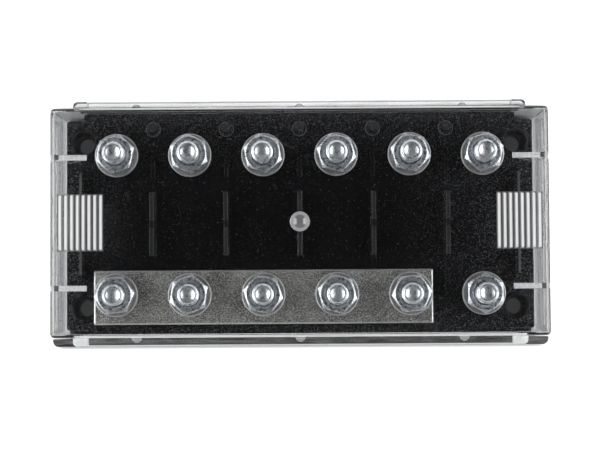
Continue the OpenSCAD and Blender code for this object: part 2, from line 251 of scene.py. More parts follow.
def noise(tree, place, size, detail=2.0, roughness=0.5, distortion=0.0):
    """Smooth noise whose blobs are about size metres wide, from 0 to 1."""
    node = add(tree, "TexNoise", {"Vector": place, "Scale": 1 / size, "Detail": detail,
                                  "Roughness": roughness, "Distortion": distortion})
    return node.outputs["Fac"]


def span(tree, value, from_low, from_high, to_low, to_high):
    """Maps a value from one range to another, held at the ends."""
    node = add(tree, "MapRange", {"Value": value, "From Min": from_low, "From Max": from_high,
                                  "To Min": to_low, "To Max": to_high})
    return node.outputs["Result"]


def maths(tree, operation, first, *others):
    """One sum on a value by itself, or carried on from value to value."""
    result = first
    for other in others or (0.0,):
        result = add(tree, "Math", {0: result, 1: other}, operation=operation).outputs["Value"]
    return result


def product(tree, *values):
    """Several values multiplied."""
    return maths(tree, "MULTIPLY", *values)


def total(tree, *values):
    """Several values added up."""
    return maths(tree, "ADD", *values)


def largest(tree, *values):
    """The largest of several values."""
    return maths(tree, "MAXIMUM", *values)


def less(tree, value, by):
    """A value with another taken from it."""
    return maths(tree, "SUBTRACT", value, by)


def unsigned(tree, value):
    """A value without its sign."""
    return maths(tree, "ABSOLUTE", value)


def above(tree, value, limit):
    """1 where a value is over a limit, else 0."""
    return maths(tree, "GREATER_THAN", value, limit)


def below(tree, value, limit):
    """1 where a value is under a limit, else 0."""
    return maths(tree, "LESS_THAN", value, limit)


def inside(tree, value, low, high):
    """1 where a value lies between two limits, else 0."""
    return product(tree, above(tree, value, low), below(tree, value, high))


def apart(tree, place):
    """The X, Y and Z of a place."""
    outputs = add(tree, "SeparateXYZ", {0: place}).outputs
    return outputs["X"], outputs["Y"], outputs["Z"]


def flat_length(tree, x, y):
    """Length of a flat vector."""
    flat = add(tree, "CombineXYZ", {0: x, 1: y}).outputs[0]
    return add(tree, "VectorMath", {0: flat}, operation="LENGTH").outputs["Value"]


def blend_colours(tree, share, first, second):
    """The first colour where share is 0 and the second where it is 1."""
    node = add(tree, "Mix", data_type="RGBA")
    colours = [s for s in node.inputs if s.type == "RGBA"]
    for socket, colour in zip(colours, (first, second)):
        if isinstance(colour, bpy.types.NodeSocket):
            tree.links.new(colour, socket)
        else:
            socket.default_value = (*colour, 1)
    set_inputs(tree, node, {0: share})
    return next(s for s in node.outputs if s.type == "RGBA")


def bump(tree, height, strength, depth):
    """A normal from a height pattern, depth metres deep."""
    node = add(tree, "Bump", {"Height": height, "Strength": strength, "Distance": depth})
    return node.outputs["Normal"]


def specks(tree, place, cell, radius, rate, dimensions="3D"):
    """Round specks, 1 at the middle and 0 past the radius. Rate is the share of cells with one."""
    dots = add(tree, "TexVoronoi", {"Vector": place, "Scale": 1 / cell}, voronoi_dimensions=dimensions)
    near = span(tree, dots.outputs["Distance"], radius / cell * 0.5, radius / cell, 1, 0)
    picked = add(tree, "SeparateColor", {0: dots.outputs["Color"]}).outputs[0]
    return product(tree, near, below(tree, picked, rate))


def hairs(tree, place, size, width, patch, rate):
    """Thin curved scratches: contour lines of a noise, kept only inside patches."""
    field = noise(tree, place, size, detail=1, distortion=0.8)
    off_line = unsigned(tree, less(tree, field, 0.5))
    line = span(tree, off_line, 0, width, 1, 0)
    kept = span(tree, noise(tree, place, patch, detail=1), 1 - rate, 1 - rate + 0.04, 0, 1)
    return product(tree, line, kept)


def off_axis(tree, place, shift, row_y):
    """Distance from the nearest of a row of upright axes, one per way, shifted along X from the middle."""
    x, y, _ = apart(tree, place)
    across = maths(tree, "PINGPONG", total(tree, x, shift), WAY_PITCH / 2)
    return flat_length(tree, across, less(tree, y, row_y))


# Materials

def base_dust_and_recess_light(tree, place):
    """Dust, scuffs and a grey film on the base, thicker towards its edges, and paler paint in the screw
    recesses as painted light where little light reaches.
    """
    x, y, height = apart(tree, place)
    off_x = unsigned(tree, x)
    off_y = unsigned(tree, y)
    leaning_x = unsigned(tree, total(tree, x, DUST_LEAN))
    to_end = total(tree, span(tree, leaning_x, DUST_FROM_X, END_WALL_X, 0, 0.55),
                   span(tree, off_x, END_WALL_X, END_WALL_X + END_WALL_T, 0, 0.55))
    to_edge = largest(tree, to_end, span(tree, off_y, DUST_FROM_Y, DUST_TO_Y, 0, 0.85))

    speckle = span(tree, noise(tree, place, 0.6 * MM, detail=4, roughness=0.75), 0.53, 0.74, 0, 0.4)
    fine_dust = product(tree, specks(tree, place, 0.7 * MM, 0.16 * MM, 0.6), 0.5)
    coarse_dust = specks(tree, place, 3 * MM, 0.22 * MM, 0.6)
    scuffs = product(tree, hairs(tree, place, 14 * MM, 0.008, 16 * MM, 0.42), 0.2)
    dust = largest(tree, fine_dust, coarse_dust, scuffs, speckle)
    dust = product(tree, dust, span(tree, to_edge, 0, 1, 0.18, 2.1))
    film = span(tree, noise(tree, place, 0.6 * MM, detail=3, roughness=0.7), 0.36, 0.66, 0, 0.12)

    uneven = span(tree, noise(tree, place, 2.5 * MM, detail=4, roughness=0.7), 0.42, 0.62, 0, 0.38)
    sparse = product(tree, specks(tree, place, 2.4 * MM, 0.24 * MM, 0.6, "2D"), uneven)
    sparse = largest(tree, sparse, product(tree, scuffs, 0.5))
    on_deck = inside(tree, height, DECK_Z - DECK_NEAR, DECK_Z + DECK_NEAR)

    from_hole = flat_length(tree, less(tree, off_x, RECESS_X), less(tree, off_y, RECESS_Y))
    in_recess = product(tree, below(tree, from_hole, RECESS_R + 2 * SLACK),
                        below(tree, height, DECK_Z - DECK_CLEAR))
    # Paler paint in the screw recesses: painted light, in place of light that barely reaches down into them
    painted_recess_light = span(tree, noise(tree, place, 1.5 * MM, detail=3), 0.3, 0.7, 0.3, 0.9)
    return largest(tree, dust, product(tree, to_edge, film), product(tree, on_deck, sparse),
                   product(tree, in_recess, painted_recess_light))


def base_highlights_and_wear(tree, place):
    """Paler paint on the base: streaks and a painted sheen on the foot in front, painted highlights round the
    cable posts' feet and on the dividers' and end walls' tops, and paler post tops.
    """
    x, y, height = apart(tree, place)
    off_x = unsigned(tree, x)
    off_y = unsigned(tree, y)
    streaky = add(tree, "Mapping", {"Vector": place, "Scale": (0.12, 1, 1)}).outputs["Vector"]
    # Streaky paler paint on the foot in front: a painted sheen, with streaks
    streaky_sheen = span(tree, noise(tree, streaky, 1.1 * MM, detail=4, roughness=0.65), 0.36, 0.64, 0.12, 0.95)
    foot = product(tree, below(tree, y, -COVER_HALF_W), below(tree, height, FOOT_T + BASE_EDGE), streaky_sheen)

    from_post = off_axis(tree, place, 0, POST_Y)
    # A painted highlight ring round each cable post's foot, and paler post tops
    post_foot_highlight = inside(tree, from_post, POST_R - HIGHLIGHT_REACH, POST_R + SLACK)
    post_tip = product(tree, below(tree, from_post, POST_R), above(tree, height, POST_TOP - HIGHLIGHT_REACH))
    post_highlights = largest(tree, product(tree, post_foot_highlight, 0.45), product(tree, post_tip, 0.1))
    post_highlights = product(tree, post_highlights, below(tree, off_x, POST_LAST))

    across = maths(tree, "PINGPONG", x, WAY_PITCH / 2)
    # Painted highlights on the dividers' tops, strongest at their edges and fainter lower down
    tall = span(tree, height, DIVIDER_TOP - 2 * HIGHLIGHT_REACH, DIVIDER_TOP - HIGHLIGHT_REACH, 0.3, 1)
    to_edge = span(tree, across, DIVIDER_MIDDLE, DIVIDER_MIDDLE + DIVIDER_FADE, 0.07, 0.15)
    divider_highlight = product(tree, tall, to_edge, below(tree, across, DIVIDER_T / 2 + WELD))
    # Painted highlights on the tops of the end walls
    end_wall_highlight = product(tree, above(tree, off_x, END_WALL_X - END_WALL_T),
                       above(tree, height, END_WALL_TOP - HIGHLIGHT_REACH), 0.3)
    in_bays = product(tree, below(tree, off_y, DIVIDER_REACH), above(tree, height, DECK_Z + DECK_CLEAR))
    return largest(tree, foot, post_highlights, product(tree, in_bays, largest(tree, divider_highlight, end_wall_highlight)))


def black_plastic():
    """Satin black moulding: fine grain, dust, and paler paint standing in for light: in the screw recesses,
    on the front foot, posts, dividers and end walls, and as a painted highlight along both ends of the deck.
    """
    made, tree, shader, place = new_material("black_moulding")
    x, _, height = apart(tree, place)
    off_x = unsigned(tree, x)
    dust_and_recess_light = base_dust_and_recess_light(tree, place)
    dust_and_painted_light = largest(tree, dust_and_recess_light, base_highlights_and_wear(tree, place))
    # A painted highlight along both ends of the deck
    painted_end_highlight = product(tree, above(tree, off_x, DECK_HALF_L - DECK_END_HIGHLIGHT),
                       above(tree, height, DECK_Z - DECK_EDGE))
    tone = noise(tree, place, 18 * MM, detail=3)
    colour = blend_colours(tree, tone, (0.0012, 0.0012, 0.0015), (0.003, 0.003, 0.0036))
    colour = blend_colours(tree, dust_and_painted_light, colour, (0.2, 0.2, 0.21))
    colour = blend_colours(tree, painted_end_highlight, colour, (0.55, 0.55, 0.56))
    gloss = span(tree, noise(tree, place, 5 * MM, detail=4), 0.3, 0.7, 0.14, 0.22)
    edge_x = DECK_HALF_L - DECK_EDGE
    dull_end = span(tree, off_x, edge_x - DECK_END_FADE, edge_x, 0, 0.5)
    set_inputs(tree, shader, {
        "Base Color": colour,
        "Roughness": total(tree, gloss, dull_end, product(tree, dust_and_recess_light, 0.4)),
        "Normal": bump(tree, noise(tree, place, 0.8 * MM, detail=3), 0.5, 0.07 * MM),
        "IOR": 1.5,
        "Specular IOR Level": 0.35,
    })
    return made


def see_through(tree, surface, tint):
    """Lets lamps shine straight through a clear shader, so that what is inside stays lit."""
    path = add(tree, "LightPath")
    clear = add(tree, "BsdfTransparent", {"Color": (*tint, 1)})
    mixed = add(tree, "MixShader", {0: path.outputs["Is Shadow Ray"], 1: surface, 2: clear.outputs[0]})
    tree.links.new(mixed.outputs[0], tree.nodes["Material Output"].inputs["Surface"])


def clear_plastic():
    """Clear moulded polycarbonate: faint handling marks, grained grip fields tinted dark as painted shade,
    pale long rims, and painted shade along its back edge, at its corners and over the gussets.
    """
    made, tree, shader, place = new_material("clear_cover")
    x, y, height = apart(tree, place)
    off_x = unsigned(tree, x)
    off_y = unsigned(tree, y)
    off_gusset = unsigned(tree, less(tree, off_y, GUSSET_Y))
    roof = cad_high.z - GRIP_H
    stop_x = LIP_HALF_L - STOP_L
    chamfer_y = COVER_HALF_W - COVER_CHAMFER
    on_top = above(tree, height, roof - WELD)
    # The grip fields are tinted dark: painted shade between the ribs
    field = product(tree, inside(tree, off_x, GRIP_FROM, GRIP_TO), below(tree, off_y, GRIP_HALF_L), on_top)
    on_chamfer = product(tree, inside(tree, height, roof - COVER_CHAMFER, roof - SLACK),
                         above(tree, off_y, chamfer_y))
    rim = product(tree, on_chamfer, span(tree, off_x, stop_x, LIP_HALF_L, 1, 0))
    # Painted shade along the back edge of the roof
    shade_y = span(tree, off_x, stop_x + MM, stop_x + 2 * MM, BACK_SHADE_FROM, chamfer_y)
    painted_back_shade = product(tree, above(tree, y, shade_y), above(tree, height, roof - COVER_CHAMFER),
                      less(tree, 1, rim))
    # Painted shade on the chamfer at the corners
    painted_corner_shade = product(tree, above(tree, off_x, CORNER_SHADE_FROM),
                        above(tree, off_y, COVER_HALF_W - CORNER_SHADE_W),
                        above(tree, height, roof - COVER_CHAMFER - WELD))
    # Painted shade over the gusset roots
    painted_gusset_shade = product(tree, below(tree, off_gusset, GUSSET_T / 2), on_top,
                        inside(tree, off_x, GUSSET_FROM, GUSSET_TO))
    colour = blend_colours(tree, field, (0.94, 0.95, 0.955), (0.2, 0.2, 0.21))
    colour = blend_colours(tree, painted_back_shade, colour, (0.1, 0.1, 0.105))
    colour = blend_colours(tree, largest(tree, painted_gusset_shade, painted_corner_shade), colour, (0.03, 0.03, 0.032))
    marks = hairs(tree, place, 9 * MM, 0.008, 14 * MM, 0.4)
    haze = span(tree, noise(tree, place, 12 * MM, detail=3), 0.35, 0.75, 0, 0.03)
    solid = total(tree, product(tree, field, 0.5), product(tree, rim, 0.8))
    set_inputs(tree, shader, {
        "Base Color": colour,
        "Transmission Weight": less(tree, 1, solid),
        "IOR": CLEAR_IOR,
        "Roughness": total(tree, haze, product(tree, marks, 0.15), product(tree, field, 0.22),
                           product(tree, rim, 0.4)),
        "Normal": bump(tree, noise(tree, place, 9 * MM, detail=1), 0.1, 0.05 * MM),
    })
    see_through(tree, shader.outputs[0], (0.93, 0.94, 0.94))
    return made


def hazy_plastic(name, drawn, dark, light, clarity, roughness, relief):
    """The same plastic where it is slightly cloudy: streaks drawn along an axis, and a lower edge painted
    white as a painted glow.
    """
    made, tree, shader, place = new_material(name)
    _, _, height = apart(tree, place)
    along = add(tree, "Mapping", {"Vector": place, "Scale": drawn}).outputs["Vector"]
    streaks = span(tree, noise(tree, along, 1.6 * MM, detail=4, roughness=0.65), 0.3, 0.7, 0, 1)
    cloud = noise(tree, place, 7 * MM, detail=3)
    # The lower edge painted white: a painted glow
    painted_lower_glow = span(tree, height, GLOW_TOP - GLOW_FADE, GLOW_TOP, 1, 0)
    colour = blend_colours(tree, streaks, dark, light)
    set_inputs(tree, shader, {
        "Base Color": blend_colours(tree, painted_lower_glow, colour, (1.0, 1.0, 1.0)),
        "Transmission Weight": span(tree, cloud, 0.3, 0.7, *clarity),
        "IOR": CLEAR_IOR,
        "Roughness": total(tree, span(tree, streaks, 0, 1, *roughness), product(tree, painted_lower_glow, 0.35)),
        "Normal": bump(tree, streaks, relief, 0.05 * MM),
    })
    see_through(tree, shader.outputs[0], (0.9, 0.91, 0.91))
    return made


def frosted_plastic(name, dark, light):
    """The same plastic where its grain scatters light, with painted shade at the roots of the grip ribs."""
    made, tree, shader, place = new_material(name)
    _, _, height = apart(tree, place)
    grain = noise(tree, place, 0.25 * MM, detail=3)
    tone = noise(tree, place, 2 * MM, detail=3)
    roof = cad_high.z - GRIP_H
    # Painted shade at the roots of the grip ribs
    painted_root_shade = inside(tree, height, roof, roof + GRIP_ROOT)
    colour = blend_colours(tree, span(tree, tone, 0.3, 0.7, 0, 1), dark, light)
    set_inputs(tree, shader, {
        "Base Color": blend_colours(tree, painted_root_shade, colour, (0.12, 0.12, 0.125)),
        "Roughness": span(tree, grain, 0.3, 0.7, 0.38, 0.55),
        "Normal": bump(tree, grain, 0.4, 0.03 * MM),
        "Transmission Weight": total(tree, 0.2, product(tree, painted_root_shade, 0.4)),
        "IOR": CLEAR_IOR,
    })
    see_through(tree, shader.outputs[0], (0.8, 0.81, 0.81))
    return made


def boss_plastic():
    """The thick boss in the middle of the cover, cloudy grey with a darker glossy dish."""
    made, tree, shader, place = new_material("moulded_boss")
    x, y, _ = apart(tree, place)
    cloud = noise(tree, place, 1.2 * MM, detail=4)
    in_dish = span(tree, flat_length(tree, x, y), DISH_R - DISH_SOFT, DISH_R + DISH_SOFT, 0.65, 0)
    colour = blend_colours(tree, cloud, (0.38, 0.385, 0.395), (0.6, 0.605, 0.615))
    set_inputs(tree, shader, {
        "Base Color": blend_colours(tree, in_dish, colour, (0.08, 0.08, 0.085)),
        "Roughness": span(tree, cloud, 0.3, 0.7, 0.1, 0.2),
        "Normal": bump(tree, cloud, 0.2, 0.05 * MM),
        "Transmission Weight": 0.15,
        "IOR": 2.0,
    })
    see_through(tree, shader.outputs[0], (0.8, 0.81, 0.81))
    return made


def zinc(name, row_y, dark, light, rough_low, rough_high, relief, highlight_r):
    """Zinc-plated steel turned about a row of studs: patchy, pitted, with tool marks and a painted highlight
    on the rim.
    """
    made, tree, shader, place = new_material(name)
    patches = noise(tree, place, 1.6 * MM, detail=4, roughness=0.65)
    grain = noise(tree, place, 0.8 * MM, detail=3, roughness=0.65)
    out = off_axis(tree, place, WAY_PITCH / 2, row_y)
    turned = add(tree, "CombineXYZ", {0: out}).outputs[0]
    marks = noise(tree, turned, 0.55 * MM, detail=2, roughness=0.6)
    # A painted highlight on the washers' rims
    rim = span(tree, out, highlight_r - RIM_FADE, highlight_r, 0, 0.6)
    pits = product(tree, specks(tree, place, 1.1 * MM, 0.16 * MM, 0.35), 0.3)
    tone = total(tree, span(tree, patches, 0.32, 0.68, 0, 0.5), span(tree, grain, 0.35, 0.65, 0, 0.3),
                 span(tree, marks, 0.35, 0.65, 0, 0.2))
    colour = blend_colours(tree, tone, dark, light)
    colour = blend_colours(tree, pits, colour, tuple(0.35 * c for c in dark))
    colour = blend_colours(tree, rim, colour, (0.9, 0.91, 0.92))
    height = total(tree, product(tree, grain, 0.7), product(tree, marks, 0.3))
    set_inputs(tree, shader, {
        "Base Color": colour,
        "Metallic": 1.0,
        "Roughness": span(tree, patches, 0.25, 0.75, rough_low, rough_high),
        "Normal": bump(tree, height, 1.0, relief),
    })
    return made


def plated_bar():
    """Dull plated busbar: rolled grain, mottled tone, and painted highlights along its edges."""
    made, tree, shader, place = new_material("dull_plating")
    low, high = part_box("busbar")
    half = (high - low) / 2
    from_middle = add(tree, "VectorMath", {0: place, 1: tuple(low + half)}, operation="SUBTRACT")
    x, y, _ = apart(tree, from_middle.outputs["Vector"])
    off_x = unsigned(tree, x)
    off_y = unsigned(tree, y)
    to_edge = maths(tree, "MINIMUM", less(tree, half.x, off_x), less(tree, half.y, off_y))
    # A painted highlight along the bar's edges
    edge = span(tree, to_edge, BAR_HIGHLIGHT_W, BAR_HIGHLIGHT_W + BAR_FADE, 0.9, 0)
    mottle = span(tree, noise(tree, place, 11 * MM, detail=6, roughness=0.6), 0.34, 0.66, 0, 1)
    grain = noise(tree, place, 0.45 * MM, detail=3, roughness=0.7)
    colour = blend_colours(tree, mottle, (0.16, 0.156, 0.146), (0.4, 0.394, 0.375))
    colour = blend_colours(tree, span(tree, grain, 0.36, 0.5, 0.75, 0), colour, (0.08, 0.078, 0.074))
    colour = blend_colours(tree, span(tree, grain, 0.5, 0.66, 0, 0.8), colour, (0.9, 0.89, 0.86))
    colour = blend_colours(tree, edge, colour, (0.95, 0.94, 0.92))
    dull = span(tree, grain, 0.3, 0.7, 0.36, 0.5)
    set_inputs(tree, shader, {
        "Base Color": colour,
        "Metallic": 1.0,
        "Roughness": less(tree, dull, product(tree, edge, 0.15)),
        "Normal": bump(tree, grain, 0.6, 0.1 * MM),
    })
    return made


# Meshes

def finish_piece(piece, node, body):
    """Puts a piece on its body, in place of a node of the frame."""
    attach(piece, body)
    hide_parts(node)
    return piece


def new_piece(name, bm, *materials):
    """An object from a finished bmesh, which is used up, with its materials."""
    mesh = bpy.data.meshes.new(name)
    bm.to_mesh(mesh)
    bm.free()
    for made in materials:
        mesh.materials.append(made)
    piece = bpy.data.objects.new(name, mesh)
    bpy.context.scene.collection.objects.link(piece)
    return piece


def with_blocks(node, boxes):
    """A node's form with plain blocks joined on, given as pairs of corners."""
    bm = bmesh.new()
    for low, high in boxes:
        place = Matrix.LocRotScale((low + high) / 2, None, high - low)
        bmesh.ops.create_cube(bm, size=1, matrix=place)
    blocks = new_piece("blocks", bm)
    bm = bmesh.new()
    bm.from_mesh(nodes[node].data)
    bmesh.ops.remove_doubles(bm, verts=bm.verts, dist=WELD)
    whole = new_piece("whole", bm)
    union = whole.modifiers.new("union", "BOOLEAN")
    union.operation = "UNION"
    union.object = blocks
    bm = bmesh.new()
    bm.from_object(whole, bpy.context.evaluated_depsgraph_get())
    for spare in (whole, blocks):
        bpy.data.objects.remove(spare)
    return bm


def weigh_normals(piece):
    """Keeps a piece's broad faces flat in shading."""
    shading = piece.modifiers.new("flat_faces", "WEIGHTED_NORMAL")
    shading.weight = 90
    shading.keep_sharp = True


def drop_faces(bm, unwanted):
    """Takes unwanted faces away and closes the wall behind them."""
    bmesh.ops.delete(bm, geom=[f for f in bm.faces if unwanted(f)], context="FACES")
    bmesh.ops.holes_fill(bm, edges=[e for e in bm.edges if e.is_boundary])


def cut_inner_walls(bm, x):
    """Cuts broad inner faces that look along Y at one X."""
    inward = [f for f in bm.faces if f.normal.y * f.calc_center_median().y < 0]
    faces = [f for f in inward if abs(f.normal.y) > 0.9 and f.calc_area() > BROAD]
    sides = dict.fromkeys(e for f in faces for e in f.edges)
    ends = dict.fromkeys(v for f in faces for v in f.verts)
    bmesh.ops.bisect_plane(bm, geom=[*ends, *sides, *faces], plane_co=(x, 0, 0), plane_no=(1, 0, 0))


def round_edges(piece, width):
    """Rounds a piece's edges, each by its weight."""
    rounding = piece.modifiers.new("rounded_edges", "BEVEL")
    rounding.width = width
    rounding.segments = 2
    rounding.limit_method = "WEIGHT"
    rounding.use_clamp_overlap = False


def softened(name, node, edge, *materials, edge_at=None, blocks=(), unwanted=None, cuts=()):
    """A copy of a node's form with rounded edges: edge wide at most, or less where edge_at says so.

    Faces that are unwanted go. Broad inner walls are cut at each X in cuts, so that they can take different
    finishes."""
    bm = with_blocks(node, blocks)
    bmesh.ops.remove_doubles(bm, verts=bm.verts, dist=WELD)
    if unwanted:
        drop_faces(bm, unwanted)
    bmesh.ops.dissolve_limit(bm, angle_limit=FLAT_ANGLE, verts=bm.verts, edges=bm.edges)
    for x in cuts:
        cut_inner_walls(bm, x)
    for face in bm.faces:
        face.smooth = True
        face.material_index = 0
    weight = bm.edges.layers.float.new("bevel_weight_edge")
    for side in bm.edges:
        if side.calc_face_angle(0) > SHARP_ANGLE:
            middle = (side.verts[0].co + side.verts[1].co) / 2
            side[weight] = edge_at(middle) / edge if edge_at else 1
            side.smooth = side[weight] > 0
    piece = new_piece(name, bm, *materials)
    round_edges(piece, edge)
    weigh_normals(piece)
    return piece


def hexagon_radius(angle, flats):
    """Radius of a hexagon with a corner at angle 0."""
    sixth = math.pi / 3
    return flats / 2 / math.cos((angle % sixth) - sixth / 2)


def thread_radius(angle, height):
    """Radius of the stud's thread at an angle and height."""
    phase = (height / THREAD_PITCH - angle / math.tau) % 1
    fall = (abs(phase - 0.5) * 2 - THREAD_CREST) / (THREAD_ROOT - THREAD_CREST)
    return THREAD_R - THREAD_DEPTH * min(max(fall, 0), 1)


def stud_rings(foot_z, tip_z, flats):
    """Rings of a stud from the underside of its head to the cup in its tip."""
    face_r = flats / 2 - HEAD_LAND
    head_top = foot_z + HEAD_H
    tip_r = THREAD_R - TIP_CHAMFER
    cup_r = tip_r - CUP_RIM
    ball_r = (cup_r ** 2 + CUP_DEPTH ** 2) / (2 * CUP_DEPTH)
    rings = [
        lambda a: (face_r, foot_z),
        lambda a: (hexagon_radius(a, flats), foot_z + (hexagon_radius(a, flats) - face_r) * HEAD_SLOPE),
        lambda a: (hexagon_radius(a, flats), head_top),
        lambda a: (THREAD_R, head_top),
    ]
    step = THREAD_PITCH / THREAD_ROWS
    count = int((tip_z - SEAT_Z) / step)
    for row in range(count):
        z = SEAT_Z + row * step
        rings.append(lambda a, z=z: (min(thread_radius(a, z), tip_r + tip_z - z), z))
    profile = [(tip_r, tip_z - TIP_SOFT / 4), (tip_r - TIP_SOFT, tip_z), (cup_r + TIP_SOFT, tip_z)]
    for row in range(CUP_ROWS):
        r = cup_r * (1 - row / CUP_ROWS)
        profile.append((r, tip_z - CUP_DEPTH + ball_r - math.sqrt(ball_r ** 2 - r ** 2)))
    for r, z in profile:
        rings.append(lambda a, r=r, z=z: (r, z))
    return rings


def around(centre, angle, r, z):
    """A point at an angle and distance from an upright axis."""
    return centre.x + r * math.cos(angle), centre.y + r * math.sin(angle), z


def lathe(bm, centre, angles, rings):
    """Joined rings of vertices about an upright axis. Each ring gives a radius and height by angle."""
    made = []
    for ring in rings:
        made.append([bm.verts.new(around(centre, a, *ring(a))) for a in angles])
    for lower, upper in zip(made, made[1:]):
        join_rings(bm, lower, upper)
    return made


def join_rings(bm, lower, upper):
    """Faces between two rings of vertices."""
    for i in range(len(lower)):
        j = (i + 1) % len(lower)
        bm.faces.new((lower[i], lower[j], upper[j], upper[i]))


def shade_smooth(bm, limit, lowest=-math.inf, highest=math.inf):
    """Smooth faces, but for edges over the limit angle between two heights."""
    for face in bm.faces:
        face.smooth = True
    for edge in bm.edges:
        in_reach = all(lowest < v.co.z < highest for v in edge.verts)
        edge.smooth = not (in_reach and edge.calc_face_angle() > limit)


def threaded_stud(node, made):
    """A stud with its thread, as one closed mesh."""
    low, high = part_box(node)
    centre = (low + high) / 2
    flats = min(high.x - low.x, high.y - low.y)
    bm = bmesh.new()
    angles = [math.tau * i / STUD_SIDES for i in range(STUD_SIDES)]
    rings = lathe(bm, centre, angles, stud_rings(low.z, high.z, flats))
    foot = bm.verts.new((centre.x, centre.y, low.z))
    cup = bm.verts.new((centre.x, centre.y, high.z - CUP_DEPTH))
    for i in range(STUD_SIDES):
        j = (i + 1) % STUD_SIDES
        bm.faces.new((foot, rings[0][j], rings[0][i]))
        bm.faces.new((cup, rings[-1][i], rings[-1][j]))
    shade_smooth(bm, SHARP_ANGLE, highest=low.z + HEAD_H + WELD)
    return new_piece(node + "_threaded", bm, made)


def nut_rings(low_z, high_z, turn):
    """Rings of a nut round its section: underside, flats, top chamfer and hole."""
    face_r = NUT_FLATS / 2 - NUT_LAND
    sink_r = NUT_BORE + NUT_SINK
    soft = NUT_EDGE

    def side(a, inward=0.0):
        return hexagon_radius(a - turn, NUT_FLATS) - inward

    def drop(a):
        return (side(a) - face_r) * HEAD_SLOPE

    return [
        lambda a: (NUT_BORE, low_z + NUT_SINK),
        lambda a: (sink_r, low_z),
        lambda a: (face_r, low_z),
        lambda a: (side(a), low_z + drop(a)),
        lambda a: (side(a), high_z - drop(a) - soft),
        lambda a: (side(a, soft / 4), high_z - drop(a) - soft * 0.1),
        lambda a: (side(a, soft), high_z - drop(a) + soft * HEAD_SLOPE),
        lambda a: (face_r + soft, high_z - soft * HEAD_SLOPE),
        lambda a: (face_r, high_z - soft * HEAD_SLOPE / 4),
        lambda a: (face_r - soft, high_z),
        lambda a: (sink_r + soft, high_z),
        lambda a: (sink_r, high_z - soft / 4),
        lambda a: (sink_r - soft, high_z - soft),
        lambda a: (NUT_BORE, high_z - NUT_SINK),
    ]


def hex_nuts(name, row, made):
    """A row of nuts, each placed and turned as in the frame."""
    bm = bmesh.new()
    points = [v.co for v in nodes[f"{row}_nuts"].data.vertices]
    for way in range(1, WAYS + 1):
        low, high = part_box(f"{row}_stud_{way}")
        centre = (low + high) / 2
        near = [p for p in points if abs(p.x - centre.x) < WAY_PITCH / 2]
        corner = max(near, key=lambda p: math.hypot(p.x - centre.x, p.y - centre.y))
        turn = math.atan2(corner.y - centre.y, corner.x - centre.x)
        angles = [turn + math.tau * i / NUT_SIDES for i in range(NUT_SIDES)]
        heights = [p.z for p in near]
        rings = lathe(bm, centre, angles, nut_rings(min(heights), max(heights), turn))
        join_rings(bm, rings[-1], rings[0])
    shade_smooth(bm, CORNER_ANGLE)
    piece = new_piece(name, bm, made)
    weigh_normals(piece)
    return piece


def base_edge_at(point):
    """How far an edge of the base is rounded: not in the hollow, nor by the deck's corners on the foot."""
    x, y = abs(point.x), abs(point.y)
    on_foot = abs(point.z - FOOT_T) < WELD
    by_corner = x > DECK_HALF_L - DECK_R - WELD and y < NOTCH_HALF_W - WELD and on_foot
    in_hollow = x < HOLLOW_HALF_L and y < SILL_FROM and point.z < HOLLOW_TOP
    return 0 if by_corner or in_hollow else BASE_EDGE


def cover_edge_at(point):
    """How far an edge of the cover is rounded: most round its rim, least on the fine grip ribs."""
    _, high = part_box("clear_cover")
    roof = high.z - GRIP_H
    if point.z > roof - WELD and abs(point.x) > GRIP_FROM and abs(point.y) < GRIP_HALF_L + WELD:
        return GRIP_EDGE
    if abs(point.y) > COVER_HALF_W + LIP_OUT / 2:
        return LIP_EDGE
    on_end = abs(point.x) > high.x - COVER_CHAMFER - WELD
    on_side = abs(point.y) > COVER_HALF_W - COVER_CHAMFER - WELD
    on_rim = point.z > roof - COVER_CHAMFER - WELD and (on_end or on_side)
    return COVER_RIM_EDGE if on_rim else COVER_EDGE


def inside_wall(face):
    """Whether a face is on the back of a pip, which stands out on the inner side of the cover's long wall."""
    x, y, z = (abs(c) for c in face.calc_center_median())
    behind_pip = COVER_HALF_W - PIP_R - WELD < y < COVER_HALF_W - SIDE_WALL - WELD
    return behind_pip and x < LIP_HALF_L - STOP_L and LIP_TOP - MM < z < LIP_TOP + 2 * MM


def finish_cover(cover):
    """Gives each face of the cover its finish, by its place."""
    _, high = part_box("clear_cover")
    roof = high.z - GRIP_H
    for polygon in cover.data.polygons:
        x, y, z = (abs(c) for c in polygon.center)
        normal = polygon.normal
        on_grip = z > roof + SLACK and x > high.x / 2
        on_boss = z > roof - RING_DISH - WELD and math.hypot(x, y) < RING_R and normal.z > -0.5
        on_lip = y > COVER_HALF_W + WELD
        in_front = polygon.center.y < 0
        on_stop = on_lip and in_front and x > LIP_HALF_L - STOP_L - WELD
        on_pip = on_lip and in_front and z > LIP_TOP + WELD
        on_lip_edge = on_lip and 0.3 < normal.z < 0.95
        slants_down = normal.z < -0.2 and abs(normal.x) > 0.2
        under_gusset = x < high.x - COVER_ROOF and z < roof - COVER_ROOF and slants_down
        on_end = z < roof - COVER_ROOF and normal.x * polygon.center.x < -0.9 * x
        by_side = y > COVER_HALF_W - 2 * COVER_ROOF and normal.y * polygon.center.y < -0.9 * y
        in_corner = z < roof - COVER_ROOF and x > LIP_HALF_L - STOP_L and by_side
        if on_grip or on_stop or on_lip_edge:
            polygon.material_index = FROSTED
        elif under_gusset or (in_corner and not in_front):
            polygon.material_index = CLOUDY
        elif on_pip or (on_boss and polygon.area < 2 * RING_R ** 2):
            polygon.material_index = BOSS
        elif on_lip:
            polygon.material_index = HAZY_LIP
        elif on_end or in_corner:
            polygon.material_index = HAZY_WALL


# The holder

black = black_plastic()

